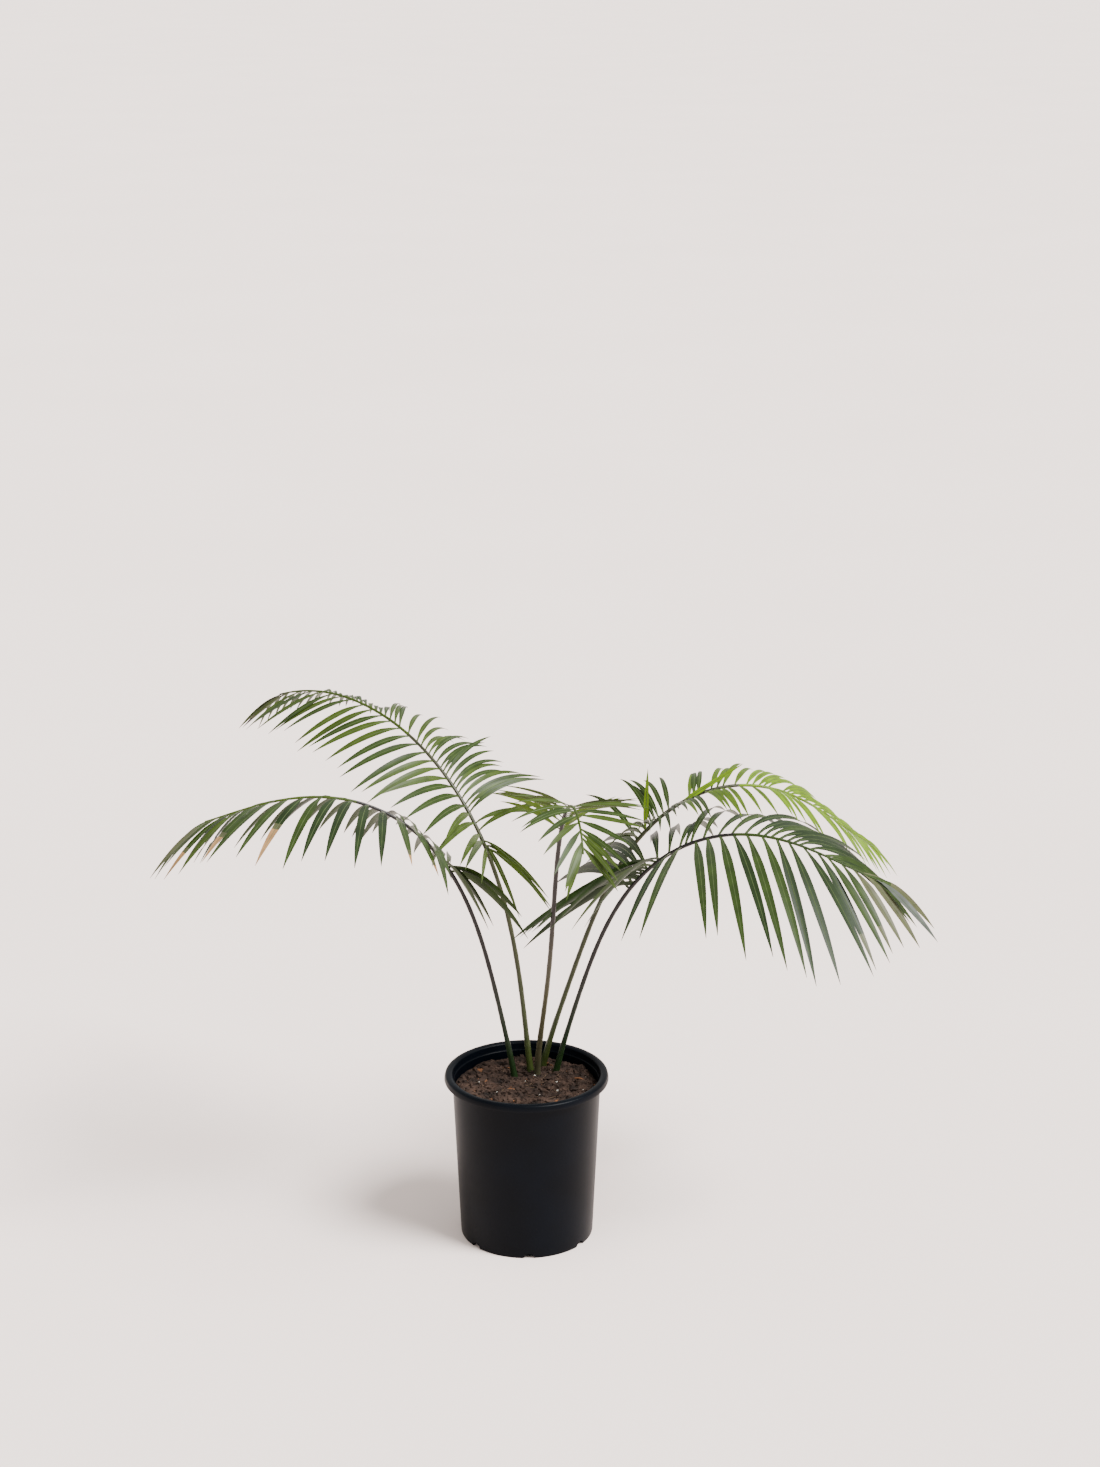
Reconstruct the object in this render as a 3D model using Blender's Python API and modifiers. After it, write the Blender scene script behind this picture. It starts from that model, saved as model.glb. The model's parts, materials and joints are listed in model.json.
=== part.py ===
"""Potted cycad with five arching fronds in a black plastic nursery pot.

The origin is the centre of the pot's flat underside, +Z is up, and the widest pair of
fronds reaches along X. Each frond is one smooth midrib curve, worked out from a heading
and five slopes. Its lower stretch is a bare stalk, and its upper stretch carries narrow
leaflets on both sides, set by one seeded rule.
"""

import math
from dataclasses import dataclass

import bmesh
import bpy
import numpy as np
from mathutils.bvhtree import BVHTree

MODEL_NAME = "potted_cycad"
GAP = 0.0003
MERGE = 0.00001

POT_HEIGHT = 0.215
LIP_RADIUS = 0.1025
LIP_DROP = 0.0088
BODY_TOP_RADIUS = 0.0925
BASE_RADIUS = 0.0832
BASE_ROUNDING = 0.0015
MOUTH_RADIUS = 0.0912
STEP_DROP = 0.0095
STEP_INSET = 0.0010
WALL = 0.0023
FLOOR = 0.0040
POT_SIDES = 48
NOTCH_COUNT = 7
NOTCH_FIRST = 272.3
NOTCH_RADIUS = 0.0070
NOTCH_HEIGHT = 0.0060
NOTCH_DEPTH = 0.0095

SOIL_HEIGHT = 0.1960
SOIL_SWELL = 0.0011
SOIL_RINGS = (0.93, 0.72, 0.48, 0.24)
SOIL_SIDES = 36
SOCKET_DEPTH = 0.0120

STALK_FOOT_RADIUS = 0.0042
STALK_TOP_RADIUS = 0.0027
RIB_TIP_RADIUS = 0.0011
STALK_POINTS = 13
RIB_POINTS = 9
SPLIT = 0.46
RIB_STEPS = 240

KNOTS = (0.0, 0.25, 0.6, 1.0)
SECTIONS = (0.0, 0.16, 0.40, 0.70)
SECTION_WIDTHS = (0.30, 0.86, 1.0, 0.74)
CURL_STEPS = 20
SLENDERNESS = 100
THINNEST = 0.0013
END_MARGIN = 0.006
CLEARANCE = 0.0004
NUDGES = ((0, 1.0), (9, 1.0), (-9, 1.0), (18, 1.0), (-18, 1.0), (0, 0.72), (14, 0.72), (-14, 0.72), (0, 0.5))
LENGTH_JITTER = 0.05
ANGLE_JITTER = 3.0
DROOP_JITTER = 0.10
STATION_JITTER = 0.08

PLASTIC = ("black_plastic", (0.008, 0.010, 0.013), 0.38)
POTTING_MIX = ("potting_mix", (0.075, 0.045, 0.032), 0.95)
STALK_GREEN = ("stalk_olive", (0.055, 0.060, 0.022), 0.45)
STALK_DARK = ("stalk_dark", (0.018, 0.014, 0.012), 0.42)
LEAF_DARK = ("leaf_dark_green", (0.030, 0.070, 0.022), 0.5)
LEAF_MID = ("leaf_mid_green", (0.065, 0.120, 0.035), 0.5)
LEAF_LIME = ("leaf_lime_green", (0.180, 0.300, 0.030), 0.5)


@dataclass(frozen=True)
class Side:
    """Leaflets on one side of a midrib, by angles at the four knots along the blade.

    lift is each leaflet's rise out of the blade's plane, spread its angle to the midrib's
    forward direction, and droop how hard its own weight bends it down.
    """

    lift: tuple
    spread: tuple
    droop: float


@dataclass(frozen=True)
class Frond:
    """One frond: where its stalk stands, how its midrib runs, and its leaflets.

    Angles are in degrees, with heading anticlockwise from +X. slopes are the midrib's
    angles above the horizontal at its foot, at the first leaflet, at a third and two
    thirds of the blade, and at its tip. strays turn single leaflets: (side, number) to
    (heading, slope, length factor, droop).
    """

    name: str
    foot: tuple
    heading: float
    swing: float
    slopes: tuple
    stalk: float
    blade: float
    pairs: int
    crowd: float
    lengths: tuple
    width: float
    limp: float
    roll: float
    left: Side
    right: Side
    seed: int
    leaf: tuple
    stalk_look: tuple
    strays: dict


FRONDS = (
    Frond(
        name="right_low", foot=(0.036, 0.039), heading=-13.5, swing=3.7,
        slopes=(78, 56, 22, -15, -17), stalk=0.268, blade=0.351, pairs=21, crowd=1.0,
        lengths=(0.20, 0.21, 0.20, 0.10), width=0.0125, limp=0.5, roll=14,
        left=Side((35, 15, 15, 10), (88, 75, 66, 20), 1.2),
        right=Side((60, 25, 5, 10), (100, 82, 66, 14), 0.75),
        seed=5, leaf=LEAF_DARK, stalk_look=STALK_DARK,
        strays={(-1, 0): (200, 20, 0.85, 1.0), (-1, 1): (205, 25, 0.85, 1.1),
                (-1, 2): (215, 30, 0.80, 1.2), (-1, 3): (225, 30, 0.70, 1.3)},
    ),
    Frond(
        name="left_low", foot=(-0.0147, 0.0254), heading=182.5, swing=9.2,
        slopes=(81, 61, 31, -3, -14), stalk=0.282, blade=0.345, pairs=18, crowd=1.0,
        lengths=(0.12, 0.145, 0.14, 0.10), width=0.0098, limp=0.55, roll=9,
        left=Side((15, 15, 5, 14), (61, 83, 65, 18), 0.88),
        right=Side((24, 13, 11, 12), (69, 73, 51, 18), 1.27),
        seed=1, leaf=LEAF_DARK, stalk_look=STALK_DARK,
        strays={(1, 0): (-25, 15, 1.1, 1.5), (1, 1): (-50, 5, 1.0, 1.3)},
    ),
    Frond(
        name="middle", foot=(0.0130, 0.0310), heading=284.0, swing=-6.6,
        slopes=(83.5, 59, 33, -6, -57), stalk=0.388, blade=0.190, pairs=15, crowd=1.0,
        lengths=(0.085, 0.085, 0.085, 0.06), width=0.0078, limp=0.75, roll=-5,
        left=Side((50, 14, 16, 12), (82, 75, 78, 28), 0.35),
        right=Side((52, 28, 18, 11), (82, 72, 66, 24), 0.6),
        seed=3, leaf=LEAF_MID, stalk_look=STALK_GREEN, strays={},
    ),
    Frond(
        name="left_high", foot=(0.0050, 0.0420), heading=142.0, swing=0.8,
        slopes=(81.5, 63, 38.5, 9.5, -21), stalk=0.282, blade=0.420, pairs=28, crowd=1.2,
        lengths=(0.11, 0.12, 0.108, 0.09), width=0.0085, limp=0.45, roll=-10,
        left=Side((55, 20, 7, 12), (78, 66, 55, 20), 0.75),
        right=Side((60, 24, 4, 10), (72, 58, 46, 20), 0.95),
        seed=2, leaf=LEAF_DARK, stalk_look=STALK_GREEN,
        strays={(-1, 0): (-40, 0, 0.9, 1.2), (-1, 1): (-20, 0, 1.0, 1.2),
                (-1, 2): (-35, 10, 1.1, 1.3), (1, 0): (-60, 10, 1.1, 1.2)},
    ),
    Frond(
        name="right_high", foot=(0.0195, 0.0560), heading=15.5, swing=-4.0,
        slopes=(78, 53, 15.5, -26.5, -31), stalk=0.305, blade=0.363, pairs=24, crowd=1.1,
        lengths=(0.105, 0.08, 0.08, 0.07), width=0.0082, limp=0.8, roll=12,
        left=Side((48, 22, 25, 10), (74, 62, 50, 20), 0.95),
        right=Side((75, 35, 17, 9), (84, 77, 80, 22), 0.8),
        seed=4, leaf=LEAF_LIME, stalk_look=STALK_GREEN,
        strays={(1, 2): (60, 86, 0.8, 0.05), (1, 6): (10, 32, 1.15, 0.05)},
    ),
)


def clear_scene():
    """Remove every object the scene starts with."""
    for thing in list(bpy.data.objects):
        bpy.data.objects.remove(thing, do_unlink=True)


def new_collection(name):
    """Return a new collection linked to the scene."""
    group = bpy.data.collections.new(name)
    bpy.context.scene.collection.children.link(group)
    return group


def material(look):
    """Return the Principled material of a (name, colour, roughness) look."""
    name, colour, roughness = look
    made = bpy.data.materials.get(name)
    if made is None:
        made = bpy.data.materials.new(name)
        made.use_nodes = True
        shader = made.node_tree.nodes["Principled BSDF"]
        shader.inputs["Base Color"].default_value = (*colour, 1.0)
        shader.inputs["Roughness"].default_value = roughness
        shader.inputs["Metallic"].default_value = 0.0
    return made


def add_mesh_object(name, mesh, group, look=None):
    """Link a mesh to a group as a named object."""
    thing = bpy.data.objects.new(name, mesh)
    group.objects.link(thing)
    if look is not None:
        mesh.materials.clear()
        mesh.materials.append(material(look))
    return thing


def turned(name, profile, sides, group, look):
    """Turn an (r, z) profile round +Z with a Screw modifier."""
    mesh = bpy.data.meshes.new(name)
    edges = [(i, i + 1) for i in range(len(profile) - 1)]
    mesh.from_pydata([(r, 0.0, z) for r, z in profile], edges, [])
    thing = add_mesh_object(name, mesh, group, look)
    screw = thing.modifiers.new("turn", "SCREW")
    screw.angle = math.tau
    screw.steps = sides
    screw.render_steps = sides
    screw.use_merge_vertices = True
    screw.merge_threshold = MERGE
    return thing


def apply_modifiers(thing):
    """Replace an object's mesh with its evaluated one and drop its modifiers."""
    graph = bpy.context.evaluated_depsgraph_get()
    mesh = bpy.data.meshes.new_from_object(thing.evaluated_get(graph))
    thing.modifiers.clear()
    thing.data = mesh


def boolean(thing, operation, group, solver="EXACT"):
    """Apply one Boolean of a whole collection to an object, then remove that collection."""
    change = thing.modifiers.new(operation.lower(), "BOOLEAN")
    change.operation = operation
    change.operand_type = "COLLECTION"
    change.collection = group
    change.solver = solver
    apply_modifiers(thing)
    for used in list(group.objects):
        bpy.data.objects.remove(used, do_unlink=True)
    bpy.data.collections.remove(group)


def wall_radius(z, inset=0.0):
    """Return the pot body's outer radius at a height, less an inset."""
    share = z / (POT_HEIGHT - LIP_DROP)
    return BASE_RADIUS + (BODY_TOP_RADIUS - BASE_RADIUS) * share - inset


def build_pot(parts):
    """Turn the pot with its rolled lip and inner step, then cut the drain notches."""
    step = POT_HEIGHT - STEP_DROP
    lip_under = POT_HEIGHT - LIP_DROP
    crown = 0.5 * (MOUTH_RADIUS + LIP_RADIUS)
    profile = [
        (0.0, FLOOR),
        (wall_radius(FLOOR, WALL), FLOOR),
        (MOUTH_RADIUS - STEP_INSET, step - STEP_INSET),
        (MOUTH_RADIUS, step),
        (MOUTH_RADIUS, POT_HEIGHT - 0.0022),
        (MOUTH_RADIUS + 0.0016, POT_HEIGHT - 0.0006),
        (crown, POT_HEIGHT),
        (LIP_RADIUS - 0.0022, POT_HEIGHT - 0.0010),
        (LIP_RADIUS - 0.0006, POT_HEIGHT - 0.0032),
        (LIP_RADIUS, lip_under + 0.0010),
        (LIP_RADIUS - 0.0008, lip_under),
        (BODY_TOP_RADIUS, lip_under + 0.0006),
        (wall_radius(BASE_ROUNDING), BASE_ROUNDING),
        (BASE_RADIUS - BASE_ROUNDING, 0.0),
        (0.0, 0.0),
    ]
    pot = turned("pot", profile, POT_SIDES, parts, PLASTIC)
    apply_modifiers(pot)
    cutters = new_collection("drain_notch_cutters")
    for number in range(NOTCH_COUNT):
        turn = math.radians(NOTCH_FIRST + number * 360 / NOTCH_COUNT)
        middle = BASE_RADIUS + 0.002 - 0.5 * NOTCH_DEPTH
        place = (middle * math.cos(turn), middle * math.sin(turn), NOTCH_HEIGHT - NOTCH_RADIUS)
        bpy.ops.mesh.primitive_cylinder_add(
            vertices=20, radius=NOTCH_RADIUS, depth=NOTCH_DEPTH, location=place,
            rotation=(0.0, math.pi / 2, turn),
        )
        cutter = bpy.context.object
        cutter.name = f"drain_notch_{number + 1}"
        cutter.users_collection[0].objects.unlink(cutter)
        cutters.objects.link(cutter)
        cutter.hide_render = True
        cutter.display_type = "WIRE"
    boolean(pot, "DIFFERENCE", cutters)


def soil_level(x, y):
    """Return the mix's surface height, gently uneven, at a place or at arrays of them."""
    ripple = np.sin(47 * x + 1.3) * np.cos(39 * y - 0.6) + 0.6 * np.sin(71 * (x - y) + 0.4)
    return SOIL_HEIGHT + SOIL_SWELL * ripple


def midrib(frond):
    """Return arc lengths and arrays of the midrib's points and its three unit directions.

    The slope follows the quartic through the five named slopes. The directions are along
    the midrib, to its left, and out of the blade's upper face, turned by the roll.
    """
    length = frond.stalk + frond.blade
    arc = np.linspace(0, length, RIB_STEPS)
    named_at = [0.0] + [frond.stalk + frond.blade * i / 3 for i in range(4)]
    slope = np.radians(np.polyval(np.polyfit(named_at, frond.slopes, 4), arc))
    turn = np.radians(frond.heading + frond.swing * (arc / length) ** 2)
    along = np.stack([np.cos(slope) * np.cos(turn), np.cos(slope) * np.sin(turn), np.sin(slope)], 1)
    left = np.stack([-np.sin(turn), np.cos(turn), np.zeros_like(turn)], 1)
    face = np.cross(along, left)
    tilt = np.radians(frond.roll) * np.clip(arc / frond.stalk, 0, 1)[:, None] ** 2
    left, face = left * np.cos(tilt) + face * np.sin(tilt), face * np.cos(tilt) - left * np.sin(tilt)
    steps = 0.5 * (along[1:] + along[:-1]) * (length / (RIB_STEPS - 1))
    points = np.concatenate([np.zeros((1, 3)), np.cumsum(steps, 0)])
    points += (frond.foot[0], frond.foot[1], SOIL_HEIGHT - 0.002)
    return arc, points, along, left, face


def sample(arc, rows, at):
    """Return rows, known at each arc length, at one or more other arc lengths."""
    return np.stack([np.interp(at, arc, rows[:, i]) for i in range(3)], -1)


def rib_radius(frond, at):
    """Return the stalk's or midrib's radius at an arc length."""
    places = (0.0, 0.25 * frond.stalk, frond.stalk, frond.stalk + frond.blade)
    middle = 0.3 * STALK_FOOT_RADIUS + 0.7 * STALK_TOP_RADIUS
    return np.interp(at, places, (STALK_FOOT_RADIUS, middle, STALK_TOP_RADIUS, RIB_TIP_RADIUS))


def tube(name, points, radii, group, look=None, sides=8):
    """Sweep a round tapering tube along points, as a closed mesh object."""
    curve = bpy.data.curves.new(name, "CURVE")
    curve.dimensions = "3D"
    curve.bevel_depth = 1.0
    curve.bevel_resolution = (sides - 4) // 2
    curve.use_fill_caps = True
    spline = curve.splines.new("POLY")
    spline.points.add(len(points) - 1)
    for knot, place, radius in zip(spline.points, points, radii):
        knot.co = (*place, 1.0)
        knot.radius = radius
    swept = bpy.data.objects.new(name + "_curve", curve)
    bpy.context.scene.collection.objects.link(swept)
    graph = bpy.context.evaluated_depsgraph_get()
    mesh = bpy.data.meshes.new_from_object(swept.evaluated_get(graph))
    bpy.data.objects.remove(swept, do_unlink=True)
    shape = bmesh.new()
    shape.from_mesh(mesh)
    bmesh.ops.remove_doubles(shape, verts=shape.verts, dist=MERGE)
    bmesh.ops.recalc_face_normals(shape, faces=shape.faces)
    shape.to_mesh(mesh)
    shape.free()
    return add_mesh_object(name, mesh, group, look)


def leaflet_line(frond, rib, side, at, lift, spread, droop, length, way=None):
    """Return a leaflet's centre points, its width directions and its face directions.

    It leaves the midrib at its own angles, and its weight then bends it down, most
    of it early on. way, if given, is the direction it leaves in instead.
    """
    arc, points, along, left, face = rib
    root, forward, beside, out = (sample(arc, rows, at) for rows in (points, along, left, face))
    beside = beside * side
    rise = math.cos(lift) * beside + math.sin(lift) * out
    start = math.cos(spread) * forward + math.sin(spread) * rise if way is None else np.array(way)
    fine = np.linspace(0, 1, CURL_STEPS + 1)
    way_on = start[None, :] - np.outer(droop * fine**frond.limp, (0.0, 0.0, 1.0))
    way_on /= np.linalg.norm(way_on, axis=1)[:, None]
    steps = 0.5 * (way_on[1:] + way_on[:-1]) * (length / CURL_STEPS)
    line = root + np.concatenate([np.zeros((1, 3)), np.cumsum(steps, 0)])
    across = np.cross(math.cos(lift) * out - math.sin(lift) * beside, way_on[0])
    widths = []
    for step in way_on:
        across = across - step * np.dot(across, step)
        across = across / np.linalg.norm(across)
        widths.append(across)
    return line, np.array(widths), np.cross(way_on, np.array(widths))


def leaflet_mesh(name, curl, length, width, grow=0.0):
    """Loft a leaflet's three-sided sections to its pointed tip, keel below."""
    line, across, up = curl
    thick = max(THINNEST, length / SLENDERNESS) + grow
    fine = np.linspace(0, 1, CURL_STEPS + 1)
    verts = []
    for share, wide in zip(SECTIONS, SECTION_WIDTHS):
        middle, sideways, upward = (sample(fine, rows, share) for rows in (line, across, up))
        half = 0.5 * (width * wide + grow)
        verts += [
            middle + sideways * half + upward * 0.3 * thick,
            middle - sideways * half + upward * 0.3 * thick,
            middle - upward * 0.7 * thick,
        ]
    verts.append(line[-1])
    faces = [(0, 1, 2)]
    for ring in range(len(SECTIONS) - 1):
        low = 3 * ring
        for k in range(3):
            faces.append((low + k, low + 3 + k, low + 3 + (k + 1) % 3, low + (k + 1) % 3))
    last = 3 * (len(SECTIONS) - 1)
    faces += [(last + k, len(verts) - 1, last + (k + 1) % 3) for k in range(3)]
    mesh = bpy.data.meshes.new(name)
    mesh.from_pydata([tuple(v) for v in verts], [], faces)
    shape = bmesh.new()
    shape.from_mesh(mesh)
    bmesh.ops.recalc_face_normals(shape, faces=shape.faces)
    bmesh.ops.triangulate(shape, faces=shape.faces)
    shape.to_mesh(mesh)
    shape.free()
    return mesh


class Space:
    """Remembers what each node already fills, so that a leaflet can be kept clear of it."""

    def __init__(self):
        """Start with nothing taken."""
        self.taken = []

    def tree(self, mesh):
        """Return a mesh's search tree and its box."""
        places = np.array([tuple(v.co) for v in mesh.vertices])
        faces = [tuple(p.vertices) for p in mesh.polygons]
        return BVHTree.FromPolygons(places.tolist(), faces), places.min(0), places.max(0)

    def free(self, node, mesh):
        """Tell whether a mesh touches nothing that belongs to another node."""
        search, low, high = self.tree(mesh)
        for owner, other, other_low, other_high in self.taken:
            if owner == node or np.any(low > other_high) or np.any(high < other_low):
                continue
            if search.overlap(other):
                return False
        return True

    def take(self, node, mesh):
        """Mark a mesh's place as the node's own."""
        self.taken.append((node, *self.tree(mesh)))


def stations(frond, side, chance):
    """Return the shares of the blade at which one side's leaflets stand."""
    shift = 0.45 if side > 0 else 0.70
    wobble = STATION_JITTER * chance.standard_normal(frond.pairs)
    return np.clip((np.arange(frond.pairs) + shift + wobble) / frond.pairs, 0, 1) ** frond.crowd


def leaflets(frond, rib):
    """Yield each leaflet's name, place, length and a maker of its curl for a nudge."""
    chance = np.random.default_rng(frond.seed)
    for side, rule in ((1, frond.left), (-1, frond.right)):
        for number, share in enumerate(stations(frond, side, chance)):
            wobble = chance.standard_normal(4)
            lift = np.interp(share, KNOTS, rule.lift) + ANGLE_JITTER * wobble[0]
            spread = np.interp(share, KNOTS, rule.spread) + ANGLE_JITTER * wobble[1]
            droop = rule.droop * (1 + DROOP_JITTER * wobble[2])
            length = np.interp(share, KNOTS, frond.lengths) * (1 + LENGTH_JITTER * wobble[3])
            way = None
            if (side, number) in frond.strays:
                turn, slope, factor, droop = frond.strays[(side, number)]
                turn, slope = math.radians(turn), math.radians(slope)
                way = (math.cos(slope) * math.cos(turn), math.cos(slope) * math.sin(turn), math.sin(slope))
                length *= factor

            def curl(nudge, shorten, side=side, share=share, lift=lift, spread=spread,
                     droop=droop, length=length, way=way):
                """Return the leaflet's curl with its lift and length changed."""
                at = frond.stalk + frond.blade * share
                return leaflet_line(frond, rib, side, at, math.radians(lift + nudge),
                                    math.radians(spread), droop, length * shorten, way)

            yield f"{frond.name}_{'left' if side > 0 else 'right'}_{number + 1}", share, length, curl


def blade_halves(frond):
    """Return each half's name and its first and last arc length."""
    bend = frond.stalk + SPLIT * frond.blade
    tip = frond.stalk + frond.blade
    return (
        (f"frond_{frond.name}_inner", frond.stalk + GAP, bend - 0.5 * GAP),
        (f"frond_{frond.name}_outer", bend + 0.5 * GAP, tip),
    )


def build_limbs(frond, parts, space):
    """Build a frond's stalk and its two lengths of bare midrib, and return the rib and these."""
    rib = midrib(frond)
    arc, points = rib[0], rib[1]
    below = points[0] - rib[2][0] * SOCKET_DEPTH
    at = np.linspace(0, frond.stalk, STALK_POINTS)
    path = [below, *sample(arc, points, at)]
    radii = [STALK_FOOT_RADIUS, *rib_radius(frond, at)]
    stalk = tube(f"petiole_{frond.name}", path, radii, parts, frond.stalk_look)
    space.take(stalk.name, stalk.data)
    ribs = []
    for node, first, last in blade_halves(frond):
        at = np.linspace(first, last, RIB_POINTS)
        bare = tube(node, sample(arc, points, at), rib_radius(frond, at), parts, frond.leaf, 6)
        space.take(node, bare.data)
        ribs.append((bare, first, last))
    return rib, ribs, stalk


def build_leaflets(frond, rib, ribs, space):
    """Grow a frond's leaflets and fuse each to the half of the midrib that carries it."""
    groups = {bare.name: new_collection(bare.name + "_leaflets") for bare, _, _ in ribs}
    for name, share, length, curl in leaflets(frond, rib):
        at = frond.stalk + frond.blade * share
        holder = next((item for item in ribs if item[1] < at < item[2]), ribs[-1])
        at_edge = at - holder[1] < END_MARGIN or holder[2] - at < END_MARGIN
        if at_edge and holder is not ribs[-1] or at_edge and share < 0.9:
            continue
        for nudge, shorten in NUDGES:
            shape = curl(nudge, shorten)
            probe = leaflet_mesh(name, shape, length * shorten, frond.width, 2 * CLEARANCE)
            clear = space.free(holder[0].name, probe)
            bpy.data.meshes.remove(probe)
            if clear:
                mesh = leaflet_mesh(name, shape, length * shorten, frond.width)
                add_mesh_object(name, mesh, groups[holder[0].name])
                space.take(holder[0].name, mesh)
                break
    for bare, _, _ in ribs:
        boolean(bare, "UNION", groups[bare.name])


def build_soil(parts, stalks):
    """Turn the potting mix that fills the pot, roughen its top, and cut the stalks' sockets."""
    floor = FLOOR + GAP
    inset = WALL + GAP
    edge = wall_radius(SOIL_HEIGHT, inset)
    profile = [(0.0, SOIL_HEIGHT), *((edge * share, SOIL_HEIGHT) for share in reversed(SOIL_RINGS))]
    profile += [(edge, SOIL_HEIGHT - 0.001), (wall_radius(floor, inset), floor), (0.0, floor)]
    soil = turned("soil", profile, SOIL_SIDES, parts, POTTING_MIX)
    apply_modifiers(soil)
    for vertex in soil.data.vertices:
        if vertex.co.z > SOIL_HEIGHT - 0.0005:
            vertex.co.z = soil_level(vertex.co.x, vertex.co.y)
    cutters = new_collection("stalk_socket_cutters")
    for frond, rib in stalks:
        root, way = rib[1][0], rib[2][0]
        path = [root - way * (SOCKET_DEPTH + GAP), root + way * SOCKET_DEPTH]
        radius = STALK_FOOT_RADIUS + GAP
        cutter = tube(f"socket_{frond.name}", path, [radius, radius], cutters)
        cutter.hide_render = True
        cutter.display_type = "WIRE"
    boolean(soil, "DIFFERENCE", cutters)


def smooth_round_pieces(parts):
    """Shade the turned and swept pieces smooth, with their real edges kept sharp."""
    for thing in parts.objects:
        thing.data.shade_smooth()
        thing.data.set_sharp_from_angle(angle=math.radians(35))


def main():
    """Build the pot, the mix, the five stalks and the ten halves of the blades."""
    clear_scene()
    parts = new_collection(MODEL_NAME)
    space = Space()
    build_pot(parts)
    grown = [(frond, *build_limbs(frond, parts, space)) for frond in FRONDS]
    build_soil(parts, [(frond, rib) for frond, rib, _, _ in grown])
    for frond, rib, ribs, _ in grown:
        build_leaflets(frond, rib, ribs, space)
    smooth_round_pieces(parts)


main()
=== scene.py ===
"""Dresses the potted cycad: fine leaflets, ribbed stalks, potting mix and a moulded pot."""

import json
import logging
import math
from dataclasses import dataclass, field
from enum import Enum
from typing import NamedTuple

import bmesh
import bpy
import numpy as np
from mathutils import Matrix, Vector
from mathutils.bvhtree import BVHTree

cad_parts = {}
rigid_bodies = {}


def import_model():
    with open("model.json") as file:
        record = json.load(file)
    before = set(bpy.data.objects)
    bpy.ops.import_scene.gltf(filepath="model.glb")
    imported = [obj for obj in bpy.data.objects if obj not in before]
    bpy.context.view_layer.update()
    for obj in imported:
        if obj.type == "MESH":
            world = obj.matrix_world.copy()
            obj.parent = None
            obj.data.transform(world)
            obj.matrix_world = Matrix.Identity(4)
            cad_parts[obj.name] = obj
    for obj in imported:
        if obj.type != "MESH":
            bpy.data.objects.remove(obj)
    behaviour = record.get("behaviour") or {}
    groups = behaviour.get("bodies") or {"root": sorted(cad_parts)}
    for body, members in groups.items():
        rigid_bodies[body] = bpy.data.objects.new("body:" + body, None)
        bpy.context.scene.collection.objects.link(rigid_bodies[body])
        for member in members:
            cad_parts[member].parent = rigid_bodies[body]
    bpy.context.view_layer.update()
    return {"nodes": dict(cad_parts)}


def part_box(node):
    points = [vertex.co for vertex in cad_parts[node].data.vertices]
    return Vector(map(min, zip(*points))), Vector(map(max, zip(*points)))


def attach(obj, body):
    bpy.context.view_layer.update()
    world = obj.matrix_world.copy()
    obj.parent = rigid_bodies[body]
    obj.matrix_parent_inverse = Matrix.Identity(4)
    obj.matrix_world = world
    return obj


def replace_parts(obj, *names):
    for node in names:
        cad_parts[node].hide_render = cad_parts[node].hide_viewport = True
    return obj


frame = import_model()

LOG = logging.getLogger("potted_cycad")

# Sizes are in metres, and angles in degrees, where a comment doesn't say otherwise.
# The pot: first the sizes that the solids have too.
_, POT_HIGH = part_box("pot")
POT_HEIGHT = float(POT_HIGH[2])
LIP_RADIUS = float(POT_HIGH[0])
LIP_DROP = 0.0088
BODY_TOP_RADIUS = LIP_RADIUS - 0.0100
BASE_RADIUS = 0.0832
BASE_ROUNDING = 0.0015
MOUTH_RADIUS = LIP_RADIUS - 0.0113
STEP_DROP = 0.0095
STEP_INSET = 0.0010
WALL = 0.0023
FLOOR = 0.0040

# The pot's finer outline. Rows are counts of points, and edges sharper than POT_SHARP
# stay sharp.
LIP_ROLL = 0.0030
LIP_INSET = 0.0008
LIP_ROWS = 14
BASE_ROWS = 5
WALL_MARGIN = 0.006
WALL_ROWS = 12
POT_SHARP = 38.0

# Steps in radius and height from a corner of that outline, which round it.
STEP_EDGE = ((-0.0003, -0.0002), (0.0, 0.0006))
LIP_SHOULDER = ((-0.0002, -0.0050),)
LIP_FOOT = ((0.0, 0.0012), (-0.0003, 0.0003), (-0.0010, 0.0))
BODY_TOP = ((0.0008, 0.0003), (0.0, -0.0006))

# The drain notches: all but the last two values are the solids' own.
NOTCH_COUNT = 7
NOTCH_FIRST = 272.3
NOTCH_RADIUS = 0.0070
NOTCH_HEIGHT = 0.0060
NOTCH_DEPTH = 0.0095
NOTCH_OVERSHOOT = 0.002
NOTCH_SIDES = 32

# The potting mix: its edge, slow swells, finer ripples, lumps and rootlets. The height
# is the solids' own. Waves are in radians a metre, and phases, turns, rolls and bends
# in radians.
SOIL_HEIGHT = 0.1960
SOIL_GAP = 0.0012
SOIL_SKIRT = 0.008
SOIL_CENTRE = 0.004
SWELL_HEIGHT = 0.0011
SWELL_WAVES = (47, 39, 71)
SWELL_PHASES = (1.3, -0.6, 0.4)
SWELL_THIRD = 0.6
RIPPLE_OCTAVES = 5
RIPPLE_HEIGHT = 0.0010
RIPPLE_FADE = 1.5
RIPPLE_WAVE = 150
RIPPLE_GROWTH = 1.9
RIPPLE_TURN = 1.1
RIPPLE_FIRST_TURN = 0.5
RIPPLE_SKEW = 0.8
LUMP_MARGIN = 0.006
LUMP_SMALLNESS = 2.5
LUMP_UNEVENNESS = 0.34
LUMP_ROLL = 0.5
LUMP_RISE = 0.35
LUMP_SHARP = 30.0
ROOTLET_SPREAD = 0.055
ROOTLET_ROWS = 16
ROOTLET_STEP = 0.0016
ROOTLET_BEND = 2.0
ROOTLET_RISE = 0.0012
ROOTLET_RADIUS = 0.00035
ROOTLET_SIDES = 5
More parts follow.
